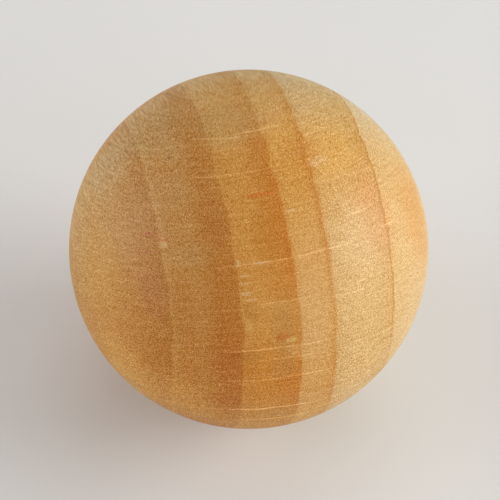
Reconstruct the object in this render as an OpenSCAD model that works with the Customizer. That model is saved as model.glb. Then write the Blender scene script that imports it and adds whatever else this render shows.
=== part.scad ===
// Plain wooden ball, turned and sanded from one piece of wood.
// The origin is the centre of the ball and +Z points up.

/* [Ball] */
// Diameter of the finished ball
ball_d = 30; // [10:0.5:60]
// Facets round the ball when it is previewed
preview_facets = 128; // [32:4:256]

/* [Hidden] */

// One solid sphere: no bore, flat or seam anywhere on it.
module ball() {
    color("#C2905A")
        sphere(d = ball_d, $fn = preview_facets);
}

ball();
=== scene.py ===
"""A plain wooden ball, turned and sanded from one piece of honey-coloured hardwood.

Its end grain faces up and towards the viewer. Lengths are in millimetres, apart from the room's. Places in
the wood are told along three lines: towards the bark, along the growth lines (upwards), and along the
fibres.
"""

import math

import bmesh
import bpy
from mathutils import Matrix, Quaternion, Vector, noise


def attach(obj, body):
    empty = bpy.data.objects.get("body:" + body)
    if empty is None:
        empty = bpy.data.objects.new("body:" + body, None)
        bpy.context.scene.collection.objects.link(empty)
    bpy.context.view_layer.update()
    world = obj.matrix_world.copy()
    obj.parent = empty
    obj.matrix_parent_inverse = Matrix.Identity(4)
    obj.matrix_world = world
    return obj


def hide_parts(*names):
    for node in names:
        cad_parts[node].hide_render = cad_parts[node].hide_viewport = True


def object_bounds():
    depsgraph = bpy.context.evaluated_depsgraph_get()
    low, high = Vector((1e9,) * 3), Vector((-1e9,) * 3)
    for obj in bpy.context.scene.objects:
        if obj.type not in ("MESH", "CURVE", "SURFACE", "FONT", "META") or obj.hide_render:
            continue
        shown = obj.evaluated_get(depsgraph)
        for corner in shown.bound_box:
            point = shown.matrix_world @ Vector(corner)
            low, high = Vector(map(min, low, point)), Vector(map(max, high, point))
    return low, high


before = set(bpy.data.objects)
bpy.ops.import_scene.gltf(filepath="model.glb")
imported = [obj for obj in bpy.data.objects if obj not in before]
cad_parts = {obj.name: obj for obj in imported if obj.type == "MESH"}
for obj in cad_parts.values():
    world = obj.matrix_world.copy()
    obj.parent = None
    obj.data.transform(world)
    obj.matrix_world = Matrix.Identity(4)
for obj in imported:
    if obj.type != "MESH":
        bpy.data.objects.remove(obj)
cad_low, cad_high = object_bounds()

MM = 0.001
BALL_RADIUS = (cad_high.x - cad_low.x) / 2 / MM
BALL_CENTRE = (cad_high + cad_low) / 2

# The skin: squares along each edge of the cube that it starts as, and half the unevenness that sanding
# leaves.
SQUARES = 128
SANDING = 0.004

# The room, in metres: a pale floor that passes into the backdrop between two distances from the ball, and
# lamps that are broad panels a metre away. A lamp has a name, an azimuth from the viewer's side round to
# the right, a height in degrees and a power in watts.
FLOOR_COLOUR = "#E3E1DE"
BACKDROP = "#DEDCD9"
FLOOR_RADIUS = 1.5
FLOOR_FADE = (0.05, 0.16)
ROOM_LIGHT = 0.34
LAMP_SIZE = (0.70, 0.58)
LAMPS = [
    ("window", 90, 15.5, 12.0),
    ("near", 45, 15.5, 1.82),
    ("left", 270, 15.5, 5.3),
    ("back", 160, 42, 2.04),
]

# The camera: how steeply it looks down, how many ball radii away it is, how much of the picture's width
# the ball fills, and how far it aims to the right of the ball's centre and below it.
CAMERA_RISE = math.radians(50)
CAMERA_RADII = 8
BALL_SHARE = 0.719
AIM_RIGHT = 0.112
AIM_BELOW = 0.063

# How the blank lay in the tree: the fibres rise towards the viewer and lean right, and the bark was on
# the right, far from the pith.
FIBRE_RISE = math.radians(30.7)
FIBRE_SWING = math.radians(14.6)
BARK_ROLL = math.radians(5.4)
PITH_DISTANCE = 277.0

# How far the wood's bands are told to either side of the ball's centre.
REACH = 17.0

# Each year's growth: where it starts, its spring colour, and what that is multiplied by towards its end.
YEARS = [
    (-REACH, "#CB8D3F", "#F7F1DF"),
    (-14.6, "#CB8D3F", "#F0E4D5"),
    (-8.63, "#D0954B", "#F4F0E6"),
    (-8.10, "#CB8D43", "#FDF8EC"),
    (-3.65, "#D29547", "#F1EBD4"),
    (0.57, "#CC9C5B", "#F2EEDF"),
    (3.47, "#C49C61", "#F2F0E2"),
    (8.83, "#BF9A61", "#F7F1DF"),
]

# How honeyed the wood is at each height along the growth lines: up to the first of the four clear growth
# lines, and then in the three years between those lines.
HONEY = [
    (-12.0, 0.76, 0.40, 0.45, 0.15),
    (-9.8, 0.97, 0.70, 0.50, 0.13),
    (-8.0, 0.98, 0.94, 0.60, 0.16),
    (-5.0, 0.92, 1.06, 0.40, 0.05),
    (-3.6, 0.72, 0.75, 0.05, 0.05),
    (-1.9, 0.49, 0.47, 0.00, 0.00),
    (0.0, 0.25, 0.10, 0.02, 0.00),
    (3.3, 0.10, 0.33, 0.40, 0.10),
    (5.0, 0.00, 0.36, 0.52, 0.28),
    (6.5, 0.00, 0.34, 0.64, 0.52),
    (8.0, 0.04, 0.36, 0.86, 0.74),
    (9.4, 0.04, 0.42, 0.97, 0.86),
    (10.7, 0.22, 0.44, 1.16, 0.84),
    (12.0, 0.02, 0.12, 0.98, 0.70),
    (15.0, 0.00, 0.00, 0.65, 0.50),
]
HONEY_DEPTH = "#FBE6A8"

# How honeyed the wood past the last of those lines is, at each height.
LAST_YEARS = [
    (-12.0, 0.10),
    (-3.4, 0.05),
    (-1.9, 0.00),
    (0.0, 0.15),
    (3.3, 0.48),
    (5.0, 0.62),
    (7.9, 0.60),
    (9.4, 0.42),
    (10.7, 0.22),
    (15.0, 0.30),
]

# Half the width in which one year passes into the next at a growth line.
LINE_BLUR = 0.03

# How the growth lines and the rays wander, as flecks sized towards the bark, along the growth lines and
# along the fibres, and how far: the lines' waves, the rags at their edges, and the rays' waves.
LINE_WAVE = (12.0, 2.2, 30.0)
LINE_WAVE_MM = 0.24
LINE_RAG = (0.3, 0.3, 3.0)
LINE_RAG_MM = 0.06
RAY_WAVE = (2.2, 3.5, 5.0)
RAY_WAVE_MM = 0.3

# The wood's cells, as flecks sized in the same way. Each kind is turned a little its own way, so that no
# two fall in step. A pore is a fleck of either shade, and an open end is a dark one.
PORE = (0.065, 0.09, 1.7)
PORE_TURN = (0.9, 0.6, 0.3)
OPEN_END = (0.09, 0.13, 1.7)
OPEN_END_TURN = (0.5, 0.9, 0.7)
PORE_GROUP = (0.15, 0.15, 6.0)
PORE_GROUP_TURN = (0.4, 0.8, 0.2)
STREAK = (3.0, 0.12, 2.0)
STREAK_TURN = (0.2, 0.1, 0.3)
FINE_RAY = (2.5, 0.12, 1.2)
FINE_RAY_COLOUR = "#DDAA6C"
RAY_RIBBON = (7.0, 0.14, 3.5)

# How strong each is in the speckle, and how much the speckle and the rays change the red, green and blue.
PORE_STRENGTH = 0.74
OPEN_END_STRENGTH = 0.17
PORE_GROUP_STRENGTH = 0.10
STREAK_STRENGTH = 0.17
RAY_STRENGTH = 0.20
SPECKLE_TINT = (0.87, 1.1, 1.3)

# What the side grain's red, green and blue are multiplied by, against the end grain's, and how open its
# pores are. The paling is partly the side grain's own and partly a painted sheen on the ball's rim, where
# the side grain shows around the end grain.
SIDE_PALING_AND_PAINTED_SHEEN = (0.88, 1.14, 1.90)
SIDE_PORES = 0.36

# How open the pores of the end grain are at each height.
PORES = [
    (-12.0, 1.85),
    (-8.0, 1.45),
    (-5.0, 1.18),
    (-3.3, 1.08),
    (0.0, 0.93),
    (4.0, 0.88),
    (6.5, 0.95),
    (9.0, 0.98),
    (10.7, 1.05),
    (12.5, 1.08),
    (15.0, 0.90),
]

# How much the pores stand out, from the pith side of the ball to the bark side.
PORES_ACROSS = [
    (-12.0, 1.12),
    (-6.0, 1.05),
    (-3.7, 0.95),
    (-2.0, 0.86),
    (2.5, 0.88),
    (4.5, 1.05),
    (8.5, 1.02),
    (12.0, 0.85),
]

# The dark autumn wood before the four clear growth lines: the line, where the dark starts and where it is
# full, how deep it is there, how deep at the line itself, and how much of it lingers past the line.
AUTUMN_LINES = [
    (-3.65, -6.40, -5.20, 0.82, 0.66, 0.0),
    (0.57, -1.60, -0.40, 0.56, 0.90, 0.30),
    (3.47, 2.80, 3.12, 0.45, 1.00, 0.25),
    (8.83, 7.00, 8.66, 0.42, 2.40, 0.0),
]
AUTUMN_DEPTH = "#F0D79D"

# How strong those four are at each height. They change most where a broad ray crosses them.
SECTORS = [
    (-9.0, 0.65, 0.30, 0.45, 0.25),
    (-5.7, 0.60, 0.30, 0.50, 0.30),
    (-5.5, 0.80, 0.20, 0.50, 0.40),
    (-4.2, 0.92, 0.15, 0.55, 0.45),
    (-3.2, 1.00, 0.15, 0.60, 0.50),
    (0.7, 0.85, 0.20, 0.70, 0.60),
    (1.0, 0.70, 0.70, 0.85, 0.75),
    (4.0, 0.68, 0.75, 0.90, 0.95),
    (4.3, 0.80, 1.00, 0.95, 0.95),
    (7.2, 0.75, 1.00, 0.80, 0.85),
    (8.5, 0.55, 0.92, 0.90, 0.70),
    (10.2, 0.50, 1.00, 0.90, 0.60),
    (11.8, 0.55, 1.15, 0.80, 0.50),
    (12.5, 0.45, 0.45, 0.50, 0.40),
]

# How far the growth lines bow towards the bark at each height: those nearest the pith, then the others.
# They dip or step where they cross a broad ray.
LINE_BOW = [
    (-12.0, -0.10, 0.00),
    (-10.0, -0.06, 0.12),
    (-9.0, -0.22, 0.04),
    (-6.4, -0.22, 0.06),
    (-3.6, -0.26, -0.04),
    (-2.9, -0.26, -0.10),
    (-2.5, -0.18, 0.08),
    (-1.9, -0.03, 0.06),
    (-0.8, 0.02, 0.04),
    (0.4, -0.14, 0.05),
    (1.1, -0.10, -0.05),
    (2.2, 0.03, 0.03),
    (3.9, 0.01, 0.06),
    (4.2, -0.05, -0.08),
    (4.9, -0.03, 0.00),
    (5.7, -0.08, -0.13),
    (6.4, 0.07, -0.03),
    (7.9, 0.08, -0.01),
    (8.6, 0.00, -0.14),
    (9.4, 0.08, -0.02),
    (10.1, -0.05, -0.24),
    (10.5, 0.00, -0.10),
    (11.6, 0.18, 0.05),
    (12.4, 0.00, -0.09),
    (13.1, 0.15, 0.04),
]

# Broad rays that show on the front: height along the growth lines, start and end towards the bark, and
# strength.
FRONT_RAYS = [
    (12.40, -1.8, 2.2, 0.45),
    (12.25, -5.0, -1.0, 0.34),
    (10.07, -5.6, 3.8, 0.30),
    (5.85, 5.3, 7.4, 0.42),
    (5.65, -4.2, -3.4, 0.30),
    (4.20, 8.0, 10.0, 0.48),
    (4.01, -5.0, -2.0, 0.40),
    (4.01, -2.2, 0.7, 0.70),
    (4.01, 0.2, 6.0, 0.40),
    (1.05, 5.3, 6.6, 0.60),
    (0.90, -2.8, 1.2, 0.46),
    (0.90, 1.0, 3.3, 0.14),
    (0.58, -6.8, -3.5, 0.33),
    (0.40, 3.3, 6.6, 0.38),
    (-2.15, 7.7, 9.3, 0.40),
    (-2.86, -5.4, 0.4, 0.60),
    (-2.94, 0.1, 3.8, 0.32),
    (-3.88, -3.2, 1.5, 0.38),
    (-4.05, 7.0, 9.2, 0.60),
    (-4.75, -6.5, -4.0, 0.28),
    (-5.78, -5.4, 3.1, 0.50),
    (-9.15, -6.8, 4.8, 0.36),
    (-9.15, -5.0, 1.7, 1.15),
    (-10.75, -3.8, 2.0, 0.65),
]
RAY_HALF_WIDTH = 0.10

# The wood's own tints, where it has taken more oil or light and where it stayed paler, and the colour of
# painted bounce light. The olive and the warm honey also serve as painted sheen and painted light.
PAINTED_BOUNCE_LIGHT = "#E8AA4A"
WARM_HONEY_AND_PAINTED_LIGHT = "#D4963A"
AMBER = "#BA741E"
CINNAMON = "#BC7444"
STRAW = "#CCA060"
OLIVE_AND_PAINTED_SHEEN = "#AC8446"

# Broad soft patches of those colours on the front: the middle's place towards the bark and along the growth
# lines, the half sizes the same two ways, the colour and its strength. Most are the wood's own tints; the
# pale honey ones at the lower left are painted bounce light, the olive ones at the top are painted sheen,
# and the warm honey one at the top right is painted light from above.
TINTS_AND_PAINTED_LIGHT = [
    # Painted bounce light: the lower left of the front made paler and brighter, as by light from below.
    (-8.6, -8.2, 4.6, 4.8, PAINTED_BOUNCE_LIGHT, 0.36),
    (-12.2, -5.2, 3.4, 4.2, PAINTED_BOUNCE_LIGHT, 0.34),
    (-11.2, -8.6, 4.8, 4.4, PAINTED_BOUNCE_LIGHT, 0.36),
    (-2.4, -11.0, 9.0, 4.0, WARM_HONEY_AND_PAINTED_LIGHT, 0.36),
    # Painted sheen: a greyer haze by the top-left rim.
    (-7.2, 12.6, 5.0, 3.2, OLIVE_AND_PAINTED_SHEEN, 0.22),
    (-10.8, 10.0, 3.4, 4.5, STRAW, 0.40),
    (-13.0, 3.0, 3.0, 5.0, WARM_HONEY_AND_PAINTED_LIGHT, 0.30),
    # Painted light from above: the top right made lighter.
    (4.0, 10.8, 5.5, 4.0, WARM_HONEY_AND_PAINTED_LIGHT, 0.32),
    (8.2, 4.6, 2.2, 3.2, AMBER, 0.30),
    (12.4, 3.4, 3.0, 6.4, AMBER, 0.40),
    (3.0, 10.6, 2.2, 2.0, AMBER, 0.40),
    (-9.6, 1.8, 1.6, 2.8, CINNAMON, 0.30),
    # Painted sheen: a greyer band along the top.
    (-1.8, 13.0, 4.2, 2.0, OLIVE_AND_PAINTED_SHEEN, 0.24),
    (-5.0, -10.8, 2.4, 2.6, WARM_HONEY_AND_PAINTED_LIGHT, 0.40),
    (-5.9, -6.2, 1.7, 1.3, WARM_HONEY_AND_PAINTED_LIGHT, 0.28),
    (-9.9, -6.5, 1.7, 1.5, AMBER, 0.28),
    (-4.5, 7.2, 1.4, 2.6, CINNAMON, 0.22),
    (-1.4, 5.6, 1.2, 4.2, AMBER, 0.34),
    (-0.6, -1.6, 1.5, 4.2, OLIVE_AND_PAINTED_SHEEN, 0.30),
    (-0.8, -4.9, 1.5, 1.3, OLIVE_AND_PAINTED_SHEEN, 0.25),
    (-0.6, -9.9, 1.6, 1.3, OLIVE_AND_PAINTED_SHEEN, 0.25),
    (-3.0, 0.4, 1.0, 1.2, AMBER, 0.28),
    (-7.9, 0.6, 1.6, 3.4, AMBER, 0.28),
    (-3.4, -3.4, 1.3, 1.1, AMBER, 0.38),
    (7.3, 6.9, 1.9, 1.7, AMBER, 0.34),
    (-6.3, 4.9, 2.6, 1.1, STRAW, 0.28),
    (5.8, -7.6, 3.4, 3.0, STRAW, 0.24),
    (4.4, 0.8, 4.2, 3.2, STRAW, 0.16),
    (-4.6, 9.2, 0.9, 1.1, AMBER, 0.20),
    (-4.6, 11.3, 0.8, 0.9, AMBER, 0.15),
    (-6.4, 9.3, 1.3, 1.6, STRAW, 0.16),
    (-6.0, 11.6, 1.8, 1.3, STRAW, 0.16),
]

# How far a patch or a mark reaches either way along the fibres.
PATCH_HALF_DEPTH = 4.0

# Small marks on the front, told in the same way as the patches.
MARKS = [
    # An amber spot before a growth line, and a small orange fleck with pale wood round it.
    (-4.4, -3.3, 0.90, 0.90, "#B7660E", 0.35),
    (0.0, -3.3, 0.90, 0.60, "#E0B272", 0.30),
    (-0.85, -2.0, 0.75, 0.42, "#BE6820", 0.60),
    (-0.15, -2.35, 0.60, 0.30, "#E8BE78", 0.45),
    # A reddish streak.
    (-0.9, 8.56, 1.90, 0.18, "#CC6418", 0.55),
    # Pale flecks.
    (-3.1, 3.2, 0.65, 0.16, "#E8C490", 0.25),
    (-3.25, 2.6, 0.50, 0.14, "#E8C490", 0.28),
    (-3.2, 1.85, 0.60, 0.22, "#E8C490", 0.45),
    (-3.0, 1.3, 0.70, 0.14, "#E8C490", 0.38),
    (-3.3, -1.0, 0.45, 0.50, "#E0B45C", 0.32),
    (1.0, 7.2, 0.65, 0.12, "#E8C898", 0.30),
    # Reddish and dark streaks on the pith side, and a pale spot by them.
    (-9.3, 6.3, 0.80, 0.14, "#C85A40", 0.50),
    (-8.6, 5.95, 0.60, 0.11, "#DC6A54", 0.48),
    (-6.9, 5.85, 2.00, 0.07, "#A05428", 0.35),
    (-9.6, 5.05, 0.90, 0.15, "#CC6A48", 0.28),
    (-10.8, 3.0, 0.60, 0.15, "#D46A38", 0.30),
    (-8.45, 5.6, 0.45, 0.28, "#F0C888", 0.30),
    # Two fine scratches.
    (-5.6, -6.15, 0.07, 0.38, "#F0B878", 0.55),
    (-5.35, -6.65, 0.07, 0.38, "#F0B878", 0.55),
    # A dark dot.
    (-6.6, 11.3, 0.25, 0.11, "#8A4A20", 0.60),
    # More pale flecks.
    (-1.95, 4.0, 0.75, 0.14, "#F0D6A6", 0.28),
    (-3.5, 4.15, 0.30, 0.35, "#E9CB98", 0.30),
    (4.2, 9.75, 1.30, 0.45, "#EBCB9A", 0.15),
]


def linear(code):
    """Turns an sRGB hex code into a linear colour."""
    parts = [int(code[k : k + 2], 16) / 255 for k in (1, 3, 5)]
    return [*[p / 12.92 if p <= 0.04045 else ((p + 0.055) / 1.055) ** 2.4 for p in parts], 1.0]


def add(tree, kind, inputs=None, **settings):
    """Adds a node. An input is a plain value, a socket, or a node, whose first output is taken."""
    made = tree.nodes.new(kind)
    for name, value in settings.items():
        setattr(made, name, value)
    for place, value in (inputs or {}).items():
        if isinstance(value, bpy.types.Node):
            value = value.outputs[0]
        if isinstance(value, bpy.types.NodeSocket):
            tree.links.new(value, made.inputs[place])
        else:
            made.inputs[place].default_value = value
    return made


def new_material(name):
    """An empty material and its node tree."""
    material = bpy.data.materials.new(name)
    material.use_nodes = True
    material.node_tree.nodes.clear()
    return material, material.node_tree


def wood_axes():
    """The tree's frame as rows: towards the bark, along the growth lines, along the fibres."""
    fibre = Vector(
        (
            math.sin(FIBRE_SWING) * math.cos(FIBRE_RISE),
            -math.cos(FIBRE_SWING) * math.cos(FIBRE_RISE),
            math.sin(FIBRE_RISE),
        )
    )
    bark = Vector((1, 0, 0))
    bark = (bark - fibre * bark.dot(fibre)).normalized()
    bark.rotate(Quaternion(fibre, BARK_ROLL))
    return Matrix((bark, fibre.cross(bark), fibre))


def step(wood, value, low, high, top=1.0):
    """A smooth step: nothing at low, and top at high."""
    return add(
        wood,
        "ShaderNodeMapRange",
        {"Value": value, "From Min": low, "From Max": high, "To Min": 0.0, "To Max": top},
        interpolation_type="SMOOTHSTEP",
    )


def along_wood(wood, at, stops):
    """Colours along a length of the wood: each stop is a place in millimetres and a colour."""
    share = add(wood, "ShaderNodeMapRange", {"Value": at, "From Min": -REACH, "From Max": REACH})
    made = add(wood, "ShaderNodeValToRGB", {0: share})
    ramp = made.color_ramp
    while len(ramp.elements) < len(stops):
        ramp.elements.new(1.0)
    for element, (place, colour) in zip(ramp.elements, stops):
        element.position = (place + REACH) / (2 * REACH)
        element.color = colour
    return made


def halved(places):
    """Stops for along_wood that hold half of each strength, so that strengths up to 2 fit in a colour."""
    return [(at, (strength / 2, strength / 2, strength / 2, 1)) for at, strength in places]


def flecks(wood, grain, size, detail=1.0, turn=(0, 0, 0)):
    """Soft random flecks, sized towards the bark, along the growth lines and along the fibres."""
    share = [1 / length for length in size]
    sized = add(wood, "ShaderNodeMapping", {"Vector": grain, "Scale": share, "Rotation": turn})
    return add(wood, "ShaderNodeTexNoise", {"Vector": sized, "Scale": 1.0, "Detail": detail})


def shifted(wood, value, amount, place, middle=0.5):
    """A place or a strength moved to and fro by soft flecks, by an amount."""
    centred = add(wood, "ShaderNodeMath", {0: value, 1: middle}, operation="SUBTRACT")
    return add(wood, "ShaderNodeMath", {0: centred, 1: amount, 2: place}, operation="MULTIPLY_ADD")


def stain(wood, colour, other, mask, blend="MIX"):
    """Turns a colour to another, or deepens it by another, where the mask is 1."""
    inputs = {"Fac": mask, "Color1": colour, "Color2": other}
    return add(wood, "ShaderNodeMixRGB", inputs, blend_type=blend)


def place_in_tree(wood, object_place):
    """Millimetres from the ball's centre: towards the bark, along the growth lines, along the fibres."""
    tree_mm = add(
        wood,
        "ShaderNodeMapping",
        {
            "Vector": object_place,
            "Location": (PITH_DISTANCE, 0, 0),
            "Rotation": wood_axes().to_euler(),
            "Scale": (1 / MM, 1 / MM, 1 / MM),
        },
    )
    x, y, z = add(wood, "ShaderNodeSeparateXYZ", {0: tree_mm}).outputs
    across = add(wood, "ShaderNodeCombineXYZ", {0: x, 1: y})
    from_pith = add(wood, "ShaderNodeVectorMath", {0: across}, operation="LENGTH").outputs["Value"]
    to_bark = add(wood, "ShaderNodeMath", {0: from_pith, 1: PITH_DISTANCE}, operation="SUBTRACT")
    turn = add(wood, "ShaderNodeMath", {0: y, 1: x}, operation="ARCTAN2")
    along = add(wood, "ShaderNodeMath", {0: turn, 1: PITH_DISTANCE}, operation="MULTIPLY")
    return to_bark, along, z


def growth_place(wood, grain, to_bark, ray_at):
    """The place towards the bark as the growth lines have it: they bow, wander and have ragged edges."""
    stops = [(at, (0.5 + inner, 0.5 + outer, 0, 1)) for at, inner, outer in LINE_BOW]
    bow = along_wood(wood, ray_at, stops)
    inner, outer, _ = add(wood, "ShaderNodeSeparateXYZ", {0: bow}).outputs
    past_first = add(wood, "ShaderNodeMapRange", {"Value": to_bark, "From Min": -3.0, "From Max": -1.0})
    bow = add(wood, "ShaderNodeMix", {"Factor": past_first, 2: inner, 3: outer})
    place = shifted(wood, bow, -1.0, to_bark)
    place = shifted(wood, flecks(wood, grain, LINE_WAVE, 2.0), LINE_WAVE_MM, place)
    return shifted(wood, flecks(wood, grain, LINE_RAG), LINE_RAG_MM, place)


def by_height(wood, across, upwards):
    """Adds up four parts of the growth, each as strong as it is at this height."""
    three = add(wood, "ShaderNodeVectorMath", {0: across, 1: upwards}, operation="DOT_PRODUCT")
    return add(
        wood,
        "ShaderNodeMath",
        {0: across.outputs["Alpha"], 1: upwards.outputs["Alpha"], 2: three.outputs["Value"]},
        operation="MULTIPLY_ADD",
    )


def growth_colour(wood, growth_at, ray_at):
    """The wood's body colour: pale in spring, deeper through the year, and honeyed in some parts."""
    stops = []
    ends = [start for start, *_ in YEARS[1:]] + [REACH]
    for (start, spring, deepening), end in zip(YEARS, ends):
        summer = [part * less for part, less in zip(linear(spring), linear(deepening))]
        stops.append((start + LINE_BLUR, linear(spring)))
        stops.append((start + (end - start) * 0.3, linear(spring)))
        stops.append((end - LINE_BLUR, summer))
    colour = along_wood(wood, growth_at, stops)

    spans = [[float(channel == span) for channel in range(4)] for span in range(5)]
    lines = [line for line, *_ in AUTUMN_LINES]
    stops = []
    for line, before, after in zip(lines, spans, spans[1:]):
        stops.append((line - LINE_BLUR, before))
        stops.append((line + LINE_BLUR, after))
    across = along_wood(wood, growth_at, stops)
    upwards = along_wood(wood, ray_at, [(at, depths) for at, *depths in HONEY])
    depth = by_height(wood, across, upwards)
    last = along_wood(wood, ray_at, [(at, (share, share, share, 1)) for at, share in LAST_YEARS])
    past_lines = step(wood, growth_at, lines[-1] - LINE_BLUR, lines[-1] + LINE_BLUR)
    depth = add(wood, "ShaderNodeMath", {0: last, 1: past_lines, 2: depth}, operation="MULTIPLY_ADD")
    return stain(wood, colour, linear(HONEY_DEPTH), depth, "MULTIPLY")


def autumn_wood(wood, growth_at, ray_at):
    """How much of the dark autumn wood shows: none at 0, and all of it from 1 up."""
    stops = []
    for line, (end, starts, full, depth, edge, past) in enumerate(AUTUMN_LINES):
        shape = ((starts, 0), (full, depth), (end - 0.08, edge), (end + LINE_BLUR, past), (end + 0.5, 0))
        for at, share in shape:
            stops.append((at, [share if channel == line else 0 for channel in range(4)]))
    across = along_wood(wood, growth_at, stops)
    upwards = along_wood(wood, ray_at, [(at, strengths) for at, *strengths in SECTORS])
    return by_height(wood, across, upwards)


def front_ray(wood, to_bark, ray_at, at, start, end, strength):
    """One broad ray of the front: a thin line towards the bark that fades at its ends."""
    gap = add(wood, "ShaderNodeMath", {0: ray_at, 1: at}, operation="SUBTRACT")
    gap = add(wood, "ShaderNodeMath", {0: gap}, operation="ABSOLUTE")
    line = step(wood, gap, RAY_HALF_WIDTH, 0.0, strength)
    off = add(wood, "ShaderNodeMath", {0: to_bark, 1: (start + end) / 2}, operation="SUBTRACT")
    off = add(wood, "ShaderNodeMath", {0: off}, operation="ABSOLUTE")
    half = (end - start) / 2
    inside = step(wood, off, half + 0.3, half - 0.9)
    return add(wood, "ShaderNodeMath", {0: line, 1: inside}, operation="MULTIPLY")


def broad_rays(wood, grain, to_bark, ray_at, front):
    """The broad rays: placed one by one on the front, and thin ribbons of the same kind in the rest."""
    placed = 0.0
    for ray in FRONT_RAYS:
        one = front_ray(wood, to_bark, ray_at, *ray)
        placed = add(wood, "ShaderNodeMath", {0: placed, 1: one}, operation="MAXIMUM")
    placed = add(wood, "ShaderNodeMath", {0: placed, 1: front}, operation="MULTIPLY")
    ribbons = step(wood, flecks(wood, grain, RAY_RIBBON), 0.66, 0.80, 0.5)
    behind = add(wood, "ShaderNodeMath", {0: 1.0, 1: front}, operation="SUBTRACT")
    ribbons = add(wood, "ShaderNodeMath", {0: ribbons, 1: behind}, operation="MULTIPLY")
    return add(wood, "ShaderNodeMath", {0: placed, 1: ribbons}, operation="MAXIMUM")


def patch(wood, grain, colour, bark_mm, along_mm, half_bark, half_along, code, strength):
    """A soft spot of another colour in the front's skin; some of these are painted light and sheen."""
    depth = math.sqrt(BALL_RADIUS**2 - bark_mm**2 - along_mm**2)
    middle = (bark_mm, along_mm, depth)
    half_size = (half_bark, half_along, PATCH_HALF_DEPTH)
    moved = add(wood, "ShaderNodeVectorMath", {0: grain, 1: middle}, operation="SUBTRACT")
    sized = add(wood, "ShaderNodeVectorMath", {0: moved, 1: half_size}, operation="DIVIDE")
    out = add(wood, "ShaderNodeVectorMath", {0: sized}, operation="LENGTH").outputs["Value"]
    return stain(wood, colour, linear(code), step(wood, out, 1.0, 0.3, strength))


def side_grain(wood, normal):
    """How far the surface turns from the end grain, which is 0, to the side grain, which is 1."""
    ends = add(wood, "ShaderNodeVectorMath", {0: normal, 1: wood_axes()[2]}, operation="DOT_PRODUCT")
    ends = add(wood, "ShaderNodeMath", {0: ends.outputs["Value"]}, operation="ABSOLUTE")
    sides = add(wood, "ShaderNodeMath", {0: 1.0, 1: ends}, operation="SUBTRACT")
    return add(wood, "ShaderNodeMath", {0: sides, 1: 1.4}, operation="POWER")


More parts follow.
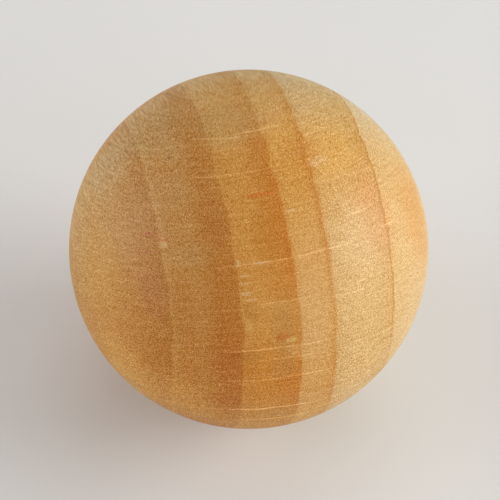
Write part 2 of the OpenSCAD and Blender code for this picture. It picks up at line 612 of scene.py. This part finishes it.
def sanded_hardwood():
    """Diffuse-porous hardwood, sanded fine: bands of growth, thin pale rays, and pores as a fine speckle.

    The pattern is solid, so the sides show the same bands and pores cut lengthwise.
    """
    material, wood = new_material("sanded_hardwood")
    place = add(wood, "ShaderNodeTexCoord")
    to_bark, along, along_fibre = place_in_tree(wood, place.outputs["Object"])
    grain = add(wood, "ShaderNodeCombineXYZ", {0: to_bark, 1: along, 2: along_fibre})
    # The front is the end of the ball that the fibres rise to.
    front = step(wood, along_fibre, 1.0, 4.0)
    ray_at = shifted(wood, flecks(wood, grain, RAY_WAVE), RAY_WAVE_MM, along)
    growth_at = growth_place(wood, grain, to_bark, ray_at)

    colour = growth_colour(wood, growth_at, ray_at)
    # Most patches are the wood's own tints; some are painted light: bounce light at the lower left, light
    # from above at the top right, and sheen at the top.
    for colour_patch in TINTS_AND_PAINTED_LIGHT:
        colour = patch(wood, grain, colour, *colour_patch)
    autumn = autumn_wood(wood, growth_at, ray_at)
    colour = stain(wood, colour, linear(AUTUMN_DEPTH), autumn, "MULTIPLY")

    # Fine rays are pale ribbons, thin along the growth lines and about a millimetre tall.
    fine_rays = step(wood, flecks(wood, grain, FINE_RAY), 0.55, 0.75, 0.15)
    colour = stain(wood, colour, linear(FINE_RAY_COLOUR), fine_rays)
    for small_mark in MARKS:
        colour = patch(wood, grain, colour, *small_mark)

    # Open cells swallow light in the end grain, so it is deeper and more orange than the side grain. The
    # side grain is also painted paler and bluer than that, as a sheen on the ball's rim.
    sides = side_grain(wood, place.outputs["Normal"])
    inputs = {"Factor": sides, 4: (1, 1, 1), 5: SIDE_PALING_AND_PAINTED_SHEEN}
    paling_and_sheen = add(wood, "ShaderNodeMix", inputs, data_type="VECTOR")
    colour = add(wood, "ShaderNodeVectorMath", {0: colour, 1: paling_and_sheen.outputs[1]}, operation="MULTIPLY")

    # Pores are a tenth or two of a millimetre apart and run for a millimetre or two along the fibres.
    # They pale and deepen the wood by even steps as the eye sees them, so they are added with the colour
    # bent as on a screen.
    pores = flecks(wood, grain, PORE, 0.0, PORE_TURN)
    open_ends = flecks(wood, grain, OPEN_END, 0.0, OPEN_END_TURN)
    open_ends = step(wood, open_ends, 0.56, 0.72, OPEN_END_STRENGTH)
    pore_groups = flecks(wood, grain, PORE_GROUP, 0.0, PORE_GROUP_TURN)
    speckle = shifted(wood, pores, PORE_STRENGTH, 0.027)
    speckle = add(wood, "ShaderNodeMath", {0: speckle, 1: open_ends}, operation="SUBTRACT")
    speckle = shifted(wood, pore_groups, PORE_GROUP_STRENGTH, speckle)
    streaks = flecks(wood, grain, STREAK, 0.0, STREAK_TURN)
    speckle = shifted(wood, streaks, STREAK_STRENGTH, speckle)
    open_pores = along_wood(wood, ray_at, halved(PORES))
    open_pores = add(wood, "ShaderNodeMix", {"Factor": sides, 2: open_pores, 3: SIDE_PORES})
    speckle = add(wood, "ShaderNodeMath", {0: speckle, 1: open_pores}, operation="MULTIPLY")
    across = along_wood(wood, to_bark, halved(PORES_ACROSS))
    across = add(wood, "ShaderNodeMath", {0: across, 1: 2.0}, operation="MULTIPLY")
    speckle = add(wood, "ShaderNodeMath", {0: speckle, 1: across}, operation="MULTIPLY")
    rays = broad_rays(wood, grain, to_bark, ray_at, front)
    speckle = add(wood, "ShaderNodeMath", {0: rays, 1: RAY_STRENGTH, 2: speckle}, operation="MULTIPLY_ADD")
    seen = add(wood, "ShaderNodeGamma", {"Color": colour, "Gamma": 1 / 2.2})
    inputs = {0: speckle, 1: SPECKLE_TINT, 2: seen}
    seen = add(wood, "ShaderNodeVectorMath", inputs, operation="MULTIPLY_ADD")
    colour = add(wood, "ShaderNodeGamma", {"Color": seen, "Gamma": 2.2})

    # Sanding leaves the autumn wood a hundredth of a millimetre or two proud and the pores a little open.
    relief = shifted(wood, autumn, 0.015, 0.0, 0.0)
    relief = shifted(wood, pore_groups, 0.006, relief)
    bump = add(wood, "ShaderNodeBump", {"Height": relief, "Distance": MM})
    surface = add(
        wood,
        "ShaderNodeBsdfPrincipled",
        {"Base Color": colour, "Roughness": 0.5, "Specular IOR Level": 0.25, "Normal": bump},
    )
    add(wood, "ShaderNodeOutputMaterial", {"Surface": surface})
    return material


def turn_ball(material):
    """Rounds a cube of fine squares into the ball, so that its squares stay even all over.

    Its map lays the six patches in two rows of three, so that every part of the wood gets its fair share.
    """
    patch_size = 0.98
    shape = bmesh.new()
    bmesh.ops.create_cube(shape, size=2)
    bmesh.ops.subdivide_edges(shape, edges=shape.edges[:], cuts=SQUARES - 1, use_grid_fill=True)
    bmesh.ops.recalc_face_normals(shape, faces=shape.faces[:])
    patches = shape.loops.layers.uv.new("OFBake")
    for face in shape.faces:
        face.smooth = True
        facing = max(range(3), key=lambda axis: abs(face.normal[axis]))
        front_side = face.normal[facing] > 0
        across, up = (facing + 1) % 3, (facing + 2) % 3
        for loop in face.loops:
            u = (loop.vert.co[across] * patch_size + 1) / 2
            v = (loop.vert.co[up] * patch_size + 1) / 2
            u = u if front_side else 1 - u
            loop[patches].uv = ((facing + u) / 3, (front_side + v) / 2)
    for corner in shape.verts:
        even = Vector([math.tan(part * math.pi / 4) for part in corner.co]).normalized()
        sanded = (noise.noise(even * 2.5) - 1) * SANDING
        corner.co = BALL_CENTRE + even * (BALL_RADIUS + sanded) * MM
    mesh = bpy.data.meshes.new("turned_ball")
    shape.to_mesh(mesh)
    shape.free()
    mesh.materials.append(material)
    ball = bpy.data.objects.new("turned_ball", mesh)
    bpy.context.collection.objects.link(ball)
    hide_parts("ball")
    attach(ball, "root")


def lay_floor():
    """A plain pale floor that the ball rests on. Away from the ball, it looks like the backdrop."""
    material, paint = new_material("pale_floor")
    surface = add(paint, "ShaderNodeBsdfPrincipled", {"Base Color": linear(FLOOR_COLOUR), "Roughness": 0.8})
    backdrop = add(paint, "ShaderNodeEmission", {"Color": linear(BACKDROP)})
    place = add(paint, "ShaderNodeTexCoord").outputs["Object"]
    reach = add(paint, "ShaderNodeVectorMath", {0: place}, operation="LENGTH").outputs["Value"]
    seen = add(paint, "ShaderNodeLightPath").outputs["Is Camera Ray"]
    near, far = FLOOR_FADE
    fading = {"Value": reach, "From Min": near, "From Max": far, "To Max": seen}
    faded = add(paint, "ShaderNodeMapRange", fading)
    surface = add(paint, "ShaderNodeMixShader", {0: faded, 1: surface, 2: backdrop})
    add(paint, "ShaderNodeOutputMaterial", {"Surface": surface})
    shape = bmesh.new()
    bmesh.ops.create_circle(shape, cap_ends=True, segments=64, radius=FLOOR_RADIUS)
    bmesh.ops.translate(shape, verts=shape.verts[:], vec=(0, 0, cad_low.z))
    mesh = bpy.data.meshes.new("floor")
    shape.to_mesh(mesh)
    shape.free()
    mesh.materials.append(material)
    floor = bpy.data.objects.new("floor", mesh)
    bpy.context.collection.objects.link(floor)


def hang_lamp(name, azimuth, elevation, power):
    """A soft lamp that faces the ball from a metre away, and that the eye doesn't see."""
    turn, rise = math.radians(azimuth), math.radians(elevation)
    away = Vector((math.sin(turn) * math.cos(rise), -math.cos(turn) * math.cos(rise), math.sin(rise)))
    data = bpy.data.lights.new(name, "AREA")
    data.shape = "RECTANGLE"
    data.size, data.size_y = LAMP_SIZE
    data.energy = power
    lamp = bpy.data.objects.new(name, data)
    lamp.location = away
    lamp.rotation_euler = away.to_track_quat("Z", "Y").to_euler()
    lamp.visible_camera = False
    bpy.context.collection.objects.link(lamp)


def light_room():
    """A pale room with a broad soft window on the right, and weaker light from the other sides."""
    world = bpy.data.worlds.new("room")
    world.use_nodes = True
    world.node_tree.nodes.clear()
    sky = add(world.node_tree, "ShaderNodeBackground", {"Color": linear("#FFFFFF"), "Strength": ROOM_LIGHT})
    backdrop = add(world.node_tree, "ShaderNodeBackground", {"Color": linear(BACKDROP), "Strength": 1.0})
    seen = add(world.node_tree, "ShaderNodeLightPath").outputs["Is Camera Ray"]
    light = add(world.node_tree, "ShaderNodeMixShader", {0: seen, 1: sky, 2: backdrop})
    add(world.node_tree, "ShaderNodeOutputWorld", {"Surface": light})
    bpy.context.scene.world = world
    for lamp in LAMPS:
        hang_lamp(*lamp)


def set_camera():
    """Looks down on the ball from the viewer's side."""
    distance = CAMERA_RADII * BALL_RADIUS * MM
    away = Vector((0, -math.cos(CAMERA_RISE), math.sin(CAMERA_RISE)))
    data = bpy.data.cameras.new("camera")
    data.sensor_width = 36
    half_ball = math.asin(1 / CAMERA_RADII)
    data.lens = BALL_SHARE * data.sensor_width / 2 / math.tan(half_ball)
    data.clip_start = 0.01
    camera = bpy.data.objects.new("camera", data)
    right = Vector((1, 0, 0))
    up = away.cross(right)
    camera.location = BALL_CENTRE + away * distance + (right * AIM_RIGHT - up * AIM_BELOW) * MM
    camera.rotation_euler = away.to_track_quat("Z", "Y").to_euler()
    bpy.context.collection.objects.link(camera)
    bpy.context.scene.camera = camera


bpy.context.scene.view_settings.view_transform = "Standard"
set_camera()
light_room()
lay_floor()
turn_ball(sanded_hardwood())
